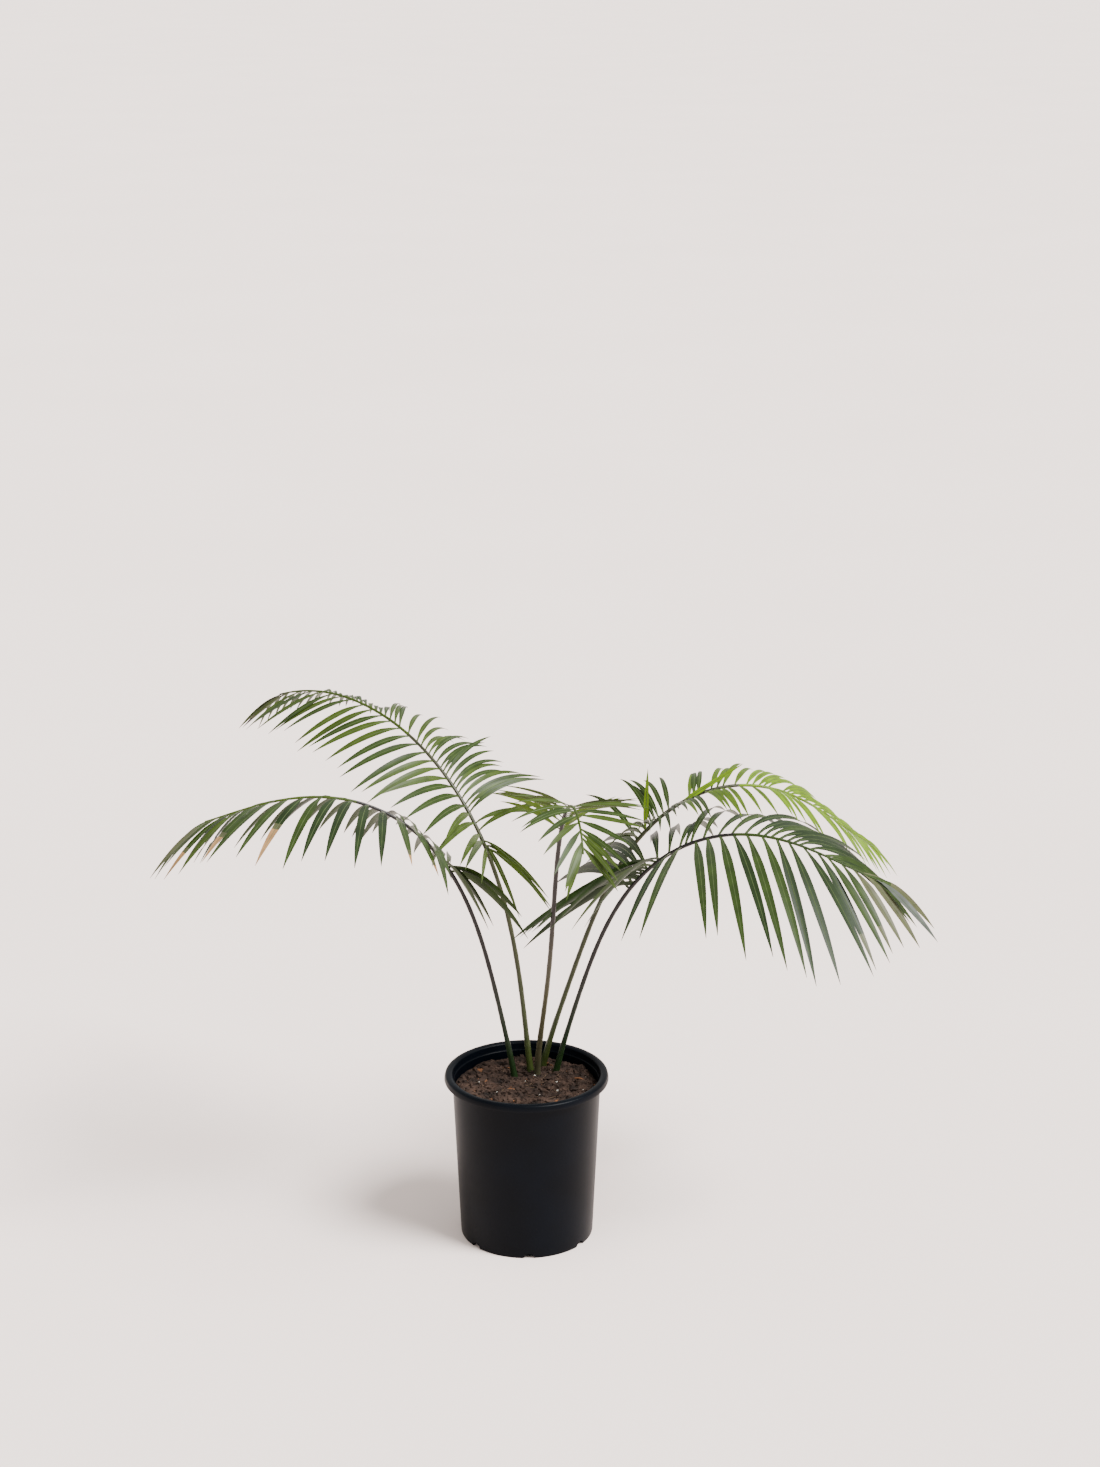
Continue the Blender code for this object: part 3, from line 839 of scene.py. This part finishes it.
@dataclass
class Pot:
    """The moulded pot: tapered wall, rolled lip, inner step and arched drain notches."""

    sides: int = 168

    def wall(self, z: float, inset: float = 0.0) -> float:
        """Return the body's outer radius at a height, less an inset."""
        return BASE_RADIUS + (BODY_TOP_RADIUS - BASE_RADIUS) * z / (POT_HEIGHT - LIP_DROP) - inset

    def profile(self) -> np.ndarray:
        """Work out the outline that is turned to make the pot.

        Returns:
            Rows of radius and height, from the inner floor over the lip to the underside.
        """
        step = POT_HEIGHT - STEP_DROP
        under = POT_HEIGHT - LIP_DROP
        crown = 0.5 * (MOUTH_RADIUS + LIP_RADIUS)
        rolled = [(crown + (LIP_RADIUS - LIP_INSET - crown) * math.cos(a),
                   POT_HEIGHT - LIP_ROLL + LIP_ROLL * math.sin(a))
                  for a in np.linspace(math.pi, 0, LIP_ROWS)]
        rows = [(0.0, FLOOR), (self.wall(FLOOR, WALL), FLOOR),
                (MOUTH_RADIUS - STEP_INSET, step - STEP_INSET),
                *rounded((MOUTH_RADIUS, step), STEP_EDGE), *rolled,
                *rounded((LIP_RADIUS, POT_HEIGHT), LIP_SHOULDER),
                *rounded((LIP_RADIUS, under), LIP_FOOT),
                *rounded((BODY_TOP_RADIUS, under), BODY_TOP)]
        rows += [(self.wall(z), z) for z in np.linspace(under - WALL_MARGIN, WALL_MARGIN, WALL_ROWS)]
        rows += [(BASE_RADIUS - BASE_ROUNDING * (1 - math.cos(a)), BASE_ROUNDING * (1 - math.sin(a)))
                 for a in np.linspace(0, math.pi / 2, BASE_ROWS)]
        return np.array(rows + [(0.0, 0.0)])

    def turned(self) -> tuple[np.ndarray, list]:
        """Turn the outline round the pot's axis.

        Returns:
            The points and faces of a closed mesh.
        """
        rings = self.profile()[1:-1]
        turn = np.linspace(0, math.tau, self.sides, endpoint=False)
        verts = np.stack([rings[:, :1] * np.cos(turn), rings[:, :1] * np.sin(turn),
                          np.repeat(rings[:, 1:], self.sides, 1)], -1).reshape(-1, 3)
        rows, n = len(rings), self.sides
        i, j = np.meshgrid(np.arange(rows - 1), np.arange(n), indexing="ij")
        after = (j + 1) % n
        faces = np.stack([i * n + j, i * n + after, (i + 1) * n + after, (i + 1) * n + j], -1)
        faces = faces.reshape(-1, 4).tolist()
        centre = len(verts)
        verts = np.concatenate([verts, [(0.0, 0.0, FLOOR), (0.0, 0.0, 0.0)]])
        faces += [[k, (k + 1) % n, centre] for k in range(n)]
        low = (rows - 1) * n
        faces += [[low + (k + 1) % n, low + k, centre + 1] for k in range(n)]
        return verts, faces

    def cut_notches(self, pot: bpy.types.Object) -> None:
        """Cut the arched drain notches out of the base.

        Args:
            pot: The turned pot.
        """
        cutters = bpy.data.collections.new("notch_cutters")
        bpy.context.scene.collection.children.link(cutters)
        for number in range(NOTCH_COUNT):
            angle = math.radians(NOTCH_FIRST + number * 360 / NOTCH_COUNT)
            middle = BASE_RADIUS + NOTCH_OVERSHOOT - 0.5 * NOTCH_DEPTH
            bpy.ops.mesh.primitive_cylinder_add(
                vertices=NOTCH_SIDES, radius=NOTCH_RADIUS, depth=NOTCH_DEPTH,
                rotation=(0, math.pi / 2, angle),
                location=(middle * math.cos(angle), middle * math.sin(angle), NOTCH_HEIGHT - NOTCH_RADIUS))
            cutter = bpy.context.object
            cutter.users_collection[0].objects.unlink(cutter)
            cutters.objects.link(cutter)
        cut = pot.modifiers.new("notches", "BOOLEAN")
        cut.operation = "DIFFERENCE"
        cut.operand_type = "COLLECTION"
        cut.collection = cutters
        graph = bpy.context.evaluated_depsgraph_get()
        mesh = bpy.data.meshes.new_from_object(pot.evaluated_get(graph))
        pot.modifiers.clear()
        pot.data = mesh
        for cutter in list(cutters.objects):
            bpy.data.objects.remove(cutter, do_unlink=True)
        bpy.data.collections.remove(cutters)

    def build(self) -> None:
        """Make the pot, cut its notches and dress the plastic."""
        pot = add_piece("moulded_pot", *self.turned(), BLACK_PLASTIC.material(), "black_plastic", POT_SHARP)
        self.cut_notches(pot)
        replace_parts(pot, "pot")


@dataclass(frozen=True)
class Lumps:
    """A kind of small uneven lump strewn over the mix.

    size is the smallest and largest half size, and stretch says how many times longer
    and how many times flatter than round they are.
    """

    name: str
    count: int
    size: tuple[float, float]
    stretch: tuple[float, float]
    finish: Finish
    seed: int


LUMPS = (
    Lumps("mix_crumbs", 3600, (0.0007, 0.0034), (1.7, 1.4), CRUMB, 21),
    Lumps("bark_chips", 60, (0.0010, 0.0040), (2.0, 2.2), BARK, 22),
    Lumps("perlite_specks", 70, (0.0007, 0.0018), (1.1, 1.2), PERLITE, 23),
)


@dataclass
class PottingMix:
    """The mix: a rough mound of crumbs, with bark chips, perlite and fine rootlets."""

    rings: int = 90
    around: int = 260
    rootlets: int = 26

    def level(self, x: np.ndarray, y: np.ndarray) -> np.ndarray:
        """Work out the surface's height: slow swells with ever finer ripples on them.

        Args:
            x: Places across.
            y: Places away.

        Returns:
            The height at each place.
        """
        height = SWELL_HEIGHT * (np.sin(SWELL_WAVES[0] * x + SWELL_PHASES[0])
                                 * np.cos(SWELL_WAVES[1] * y + SWELL_PHASES[1])
                                 + SWELL_THIRD * np.sin(SWELL_WAVES[2] * (x - y) + SWELL_PHASES[2]))
        for octave in range(RIPPLE_OCTAVES):
            wave, turn = RIPPLE_WAVE * RIPPLE_GROWTH**octave, RIPPLE_TURN * octave + RIPPLE_FIRST_TURN
            across = x * math.cos(turn) + y * math.sin(turn)
            along = y * math.cos(turn) - x * math.sin(turn)
            height += (RIPPLE_HEIGHT / RIPPLE_FADE**octave * np.sin(wave * across + turn)
                       * np.cos(RIPPLE_SKEW * wave * along - turn))
        return SOIL_HEIGHT + height

    def strew(self, kind: Lumps) -> None:
        """Scatter one kind of lump over the surface as one joined piece.

        Args:
            kind: The kind of lump.
        """
        chance = np.random.default_rng(kind.seed)
        count = kind.count
        shape = bmesh.new()
        bmesh.ops.create_icosphere(shape, subdivisions=1, radius=1.0)
        unit = np.array([v.co[:] for v in shape.verts])
        faces = np.array([[v.index for v in f.verts] for f in shape.faces])
        shape.free()
        reach = (MOUTH_RADIUS - LUMP_MARGIN) * np.sqrt(chance.random(count))
        angle = math.tau * chance.random(count)
        x, y = reach * np.cos(angle), reach * np.sin(angle)
        small, large = kind.size
        scale = small + (large - small) * chance.random(count) ** LUMP_SMALLNESS
        local = unit[None] * (1 + LUMP_UNEVENNESS * chance.standard_normal((count, len(unit), 1)))
        longer, flatter = kind.stretch
        local = local * np.array([longer, 1.0, 1.0 / flatter]) * scale[:, None, None]
        roll = chance.normal(0, LUMP_ROLL, count)
        yaw = math.tau * chance.random(count)
        c, s = np.cos(roll)[:, None], np.sin(roll)[:, None]
        local = np.stack([local[..., 0], local[..., 1] * c - local[..., 2] * s,
                          local[..., 1] * s + local[..., 2] * c], -1)
        c, s = np.cos(yaw)[:, None], np.sin(yaw)[:, None]
        local = np.stack([local[..., 0] * c - local[..., 1] * s, local[..., 0] * s + local[..., 1] * c,
                          local[..., 2]], -1)
        middle = np.stack([x, y, self.level(x, y) + LUMP_RISE * scale], -1)
        verts = (local + middle[:, None]).reshape(-1, 3)
        joined = (faces[None] + (np.arange(count) * len(unit))[:, None, None]).reshape(-1, 3)
        add_piece(kind.name, verts, joined.tolist(), kind.finish.material(), "potting_mix", LUMP_SHARP)

    def root(self) -> None:
        """Lay thin wandering rootlets on the surface, as one joined piece."""
        chance = np.random.default_rng(ROOTLET_SEED)
        ring = np.linspace(0, math.tau, ROOTLET_SIDES, endpoint=False)
        roots = Sweep()
        for _ in range(self.rootlets):
            start = chance.uniform(-ROOTLET_SPREAD, ROOTLET_SPREAD, 2)
            heading = (math.tau * chance.random()
                       + np.linspace(0, chance.normal(0, ROOTLET_BEND), ROOTLET_ROWS))
            steps = np.stack([np.cos(heading), np.sin(heading)], 1) * ROOTLET_STEP
            path = start + np.cumsum(steps, 0)
            line = np.column_stack([path, self.level(path[:, 0], path[:, 1]) + ROOTLET_RISE])
            beside = np.column_stack([-np.sin(heading), np.cos(heading), 0 * heading])
            roots.add(line[:, None] + ROOTLET_RADIUS * (
                np.cos(ring)[None, :, None] * beside[:, None]
                + np.sin(ring)[None, :, None] * np.array([0, 0, 1.0])))
        roots.piece("rootlets", ROOTLET.material(), "potting_mix")

    def build(self) -> None:
        """Make the mound, the scattered lumps and the rootlets."""
        edge = MOUTH_RADIUS - STEP_INSET - SOIL_GAP
        radius = edge * np.linspace(SOIL_CENTRE, 1, self.rings)
        turn = np.linspace(0, math.tau, self.around, endpoint=False)
        x, y = radius[:, None] * np.cos(turn), radius[:, None] * np.sin(turn)
        top = np.stack([x, y, self.level(x, y)], -1)
        skirt = top[-1] * (1, 1, 0) + (0, 0, SOIL_HEIGHT - SOIL_SKIRT)
        mound = Sweep()
        mound.add(np.concatenate([top, skirt[None]]))
        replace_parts(mound.piece("mix_surface", EARTH.material(), "potting_mix"), "soil")
        for kind in LUMPS:
            self.strew(kind)
        self.root()


@dataclass
class Studio:
    """A wide pale floor, soft light from all round and the right, and the photograph's camera."""

    ambient: float = 1.12
    sun: float = 9.3
    softness: float = 26.0
    towards: tuple = (0.66, -0.34, 0.92)
    half_size: float = 60.0
    tint: tuple = (1.0, 0.985, 0.97, 1.0)

    def build(self) -> None:
        """Make the floor, the lights and the camera."""
        far = self.half_size
        mesh = bpy.data.meshes.new("floor")
        mesh.from_pydata([(-far, -far, 0.0), (far, -far, 0.0), (far, far, 0.0), (-far, far, 0.0)], [],
                         [(0, 1, 2, 3)])
        mesh.materials.append(PALE_FLOOR.material())
        floor = bpy.data.objects.new("floor", mesh)
        bpy.context.scene.collection.objects.link(floor)
        world = bpy.data.worlds.new("soft_light")
        world.use_nodes = True
        world.node_tree.nodes["Background"].inputs["Color"].default_value = self.tint
        world.node_tree.nodes["Background"].inputs["Strength"].default_value = self.ambient
        bpy.context.scene.world = world
        key = bpy.data.lights.new("key", "SUN")
        key.energy = self.sun
        key.angle = math.radians(self.softness)
        lamp = bpy.data.objects.new("key", key)
        lamp.rotation_euler = Vector(self.towards).to_track_quat("Z", "Y").to_euler()
        bpy.context.scene.collection.objects.link(lamp)
        lens = bpy.data.cameras.new("camera")
        lens.sensor_fit = "VERTICAL"
        lens.sensor_height = SENSOR
        lens.lens = SENSOR * FOCAL_PIXELS / PHOTO_HEIGHT
        lens.clip_end = 2 * self.half_size
        camera = bpy.data.objects.new("camera", lens)
        camera.location = CAMERA_PLACE
        camera.rotation_euler = (math.radians(CAMERA_PITCH), 0.0, 0.0)
        bpy.context.scene.collection.objects.link(camera)
        bpy.context.scene.camera = camera


DARK_FOOT = (0.0080, 0.0210, 0.0050)
DARK_UPPER = (0.0045, 0.0036, 0.0030)
OLIVE_FOOT = (0.0280, 0.0400, 0.0080)
OLIVE_UPPER = (0.0240, 0.0270, 0.0090)

FRONDS = (
    Frond(
        name="right_low", foot=(0.036, 0.039), heading=-13.5, swing=3.7,
        slopes=(78, 56, 22, -15, -17), stalk=0.268, blade=0.351, pairs=21, crowd=1.0,
        lengths=(0.20, 0.21, 0.20, 0.10), width=0.0125, limp=0.5, roll=14,
        left=SideRule((35, 15, 15, 10), (88, 75, 66, 20), 1.2),
        right=SideRule((60, 25, 5, 10), (100, 82, 66, 14), 0.75),
        seed=5, strays={(-1, 0): (200, 20, 0.85, 1.0), (-1, 1): (205, 25, 0.85, 1.1),
                        (-1, 2): (215, 30, 0.80, 1.2), (-1, 3): (225, 30, 0.70, 1.3)},
        tones=(Tone.DEEP, Tone.DARK, Tone.DEEP, Tone.DARK),
        stalk_finish=StalkFinish("stalk_black_right", DARK_UPPER, foot=DARK_FOOT),
        slots=("stalk_dark", "leaf_dark_green"),
        filling=(0.5, 0.0), slim=(0.85, 0.92),
        spoilt={(-1, 15): (Tone.FADED, 0.75), (-1, 17): (Tone.FADED, 0.7), (-1, 18): (Tone.FADED, 0.0),
                (-1, 19): (Tone.FADED, 0.0), (-1, 20): (Tone.BLEACHED, 0.0), (1, 20): (Tone.FADED, 0.2),
                (1, 19): (Tone.FADED, 0.0)},
    ),
    Frond(
        name="left_low", foot=(-0.0147, 0.0254), heading=182.5, swing=9.2,
        slopes=(81, 61, 31, -3, -14), stalk=0.282, blade=0.345, pairs=18, crowd=1.0,
        lengths=(0.12, 0.145, 0.14, 0.10), width=0.0098, limp=0.55, roll=9,
        left=SideRule((15, 15, 5, 14), (61, 83, 65, 18), 0.88),
        right=SideRule((24, 13, 11, 12), (69, 73, 51, 18), 1.27),
        seed=1, strays={(1, 0): (-25, 15, 1.1, 1.5), (1, 1): (-50, 5, 1.0, 1.3)},
        tones=(Tone.DARK, Tone.DARK, Tone.DEEP, Tone.DARK, Tone.MID),
        stalk_finish=StalkFinish("stalk_black_left", DARK_UPPER, foot=DARK_FOOT),
        slots=("stalk_dark", "leaf_dark_green"),
        filling=(0.0, 0.5), slim=(1.15, 0.95),
        spoilt={(1, 4): (Tone.DRY, 0.80), (1, 5): (Tone.DRY, 0.80), (1, 11): (Tone.DRY, 0.5),
                (1, 14): (Tone.DRY, 0.6), (1, 16): (Tone.DRY, 0.55), (1, 17): (Tone.FADED, 0.2)},
    ),
    Frond(
        name="middle", foot=(0.0130, 0.0310), heading=284.0, swing=-6.6,
        slopes=(83.5, 59, 33, -6, -57), stalk=0.388, blade=0.190, pairs=15, crowd=1.0,
        lengths=(0.085, 0.085, 0.085, 0.06), width=0.0078, limp=0.75, roll=-5,
        left=SideRule((50, 14, 16, 12), (82, 75, 78, 28), 0.35),
        right=SideRule((52, 28, 18, 11), (82, 72, 66, 24), 0.6),
        seed=3, strays={}, tones=(Tone.FRESH, Tone.MID, Tone.MID, Tone.DARK, Tone.MID),
        stalk_finish=StalkFinish("stalk_middle", (0.010, 0.007, 0.006), foot=(0.045, 0.042, 0.022),
                                 turn_low=0.33, turn_high=0.44),
        slots=("stalk_olive", "leaf_mid_green"), filling=(0.3, 0.3), slim=(0.9, 0.9),
    ),
    Frond(
        name="left_high", foot=(0.0050, 0.0420), heading=142.0, swing=0.8,
        slopes=(81.5, 63, 38.5, 9.5, -21), stalk=0.282, blade=0.420, pairs=28, crowd=1.2,
        lengths=(0.11, 0.12, 0.108, 0.09), width=0.0085, limp=0.45, roll=-10,
        left=SideRule((55, 20, 7, 12), (78, 66, 55, 20), 0.75),
        right=SideRule((60, 24, 4, 10), (72, 58, 46, 20), 0.95),
        seed=2, strays={(-1, 0): (-40, 0, 0.9, 1.2), (-1, 1): (-20, 0, 1.0, 1.2),
                        (-1, 2): (-35, 10, 1.1, 1.3), (1, 0): (-60, 10, 1.1, 1.2)},
        tones=(Tone.MID, Tone.DARK, Tone.MID, Tone.DARK, Tone.MID),
        stalk_finish=StalkFinish("stalk_left_high", OLIVE_UPPER, foot=OLIVE_FOOT),
        slots=("stalk_olive", "leaf_dark_green"),
        filling=(0.0, 0.85), slim=(1.08, 0.76), spoilt={(1, 26): (Tone.CHARRED, 0.75)},
    ),
    Frond(
        name="right_high", foot=(0.0195, 0.0560), heading=15.5, swing=-4.0,
        slopes=(78, 53, 15.5, -26.5, -31), stalk=0.305, blade=0.363, pairs=24, crowd=1.1,
        lengths=(0.105, 0.08, 0.08, 0.07), width=0.0082, limp=0.8, roll=12,
        left=SideRule((48, 22, 25, 10), (74, 62, 50, 20), 0.95),
        right=SideRule((75, 35, 17, 9), (84, 77, 80, 22), 0.8),
        seed=4, strays={(1, 2): (60, 86, 0.8, 0.05), (1, 6): (10, 32, 1.15, 0.05)},
        tones=(Tone.DARK, Tone.DARK, Tone.FRESH, Tone.LIME, Tone.LIME, Tone.LIME),
        stalk_finish=StalkFinish("stalk_right_high", OLIVE_UPPER, foot=OLIVE_FOOT),
        slots=("stalk_olive", "leaf_lime_green"),
        filling=(0.8, 0.7), slim=(0.80, 0.74), young=Tone.LIME,
    ),
)


def main() -> None:
    """Build the pot, the mix, the fronds and the studio, in that order."""
    logging.basicConfig(level=logging.INFO, format="%(message)s")
    Pot().build()
    PottingMix().build()
    finishes = {tone: LeafFinish(f"leaf_{tone.value[0]}", tone.value[1]).material() for tone in Tone}
    finishes["vein"] = VEIN.material()
    for frond in FRONDS:
        frond.build(finishes)
    Studio().build()


if __name__ == "__main__":
    main()
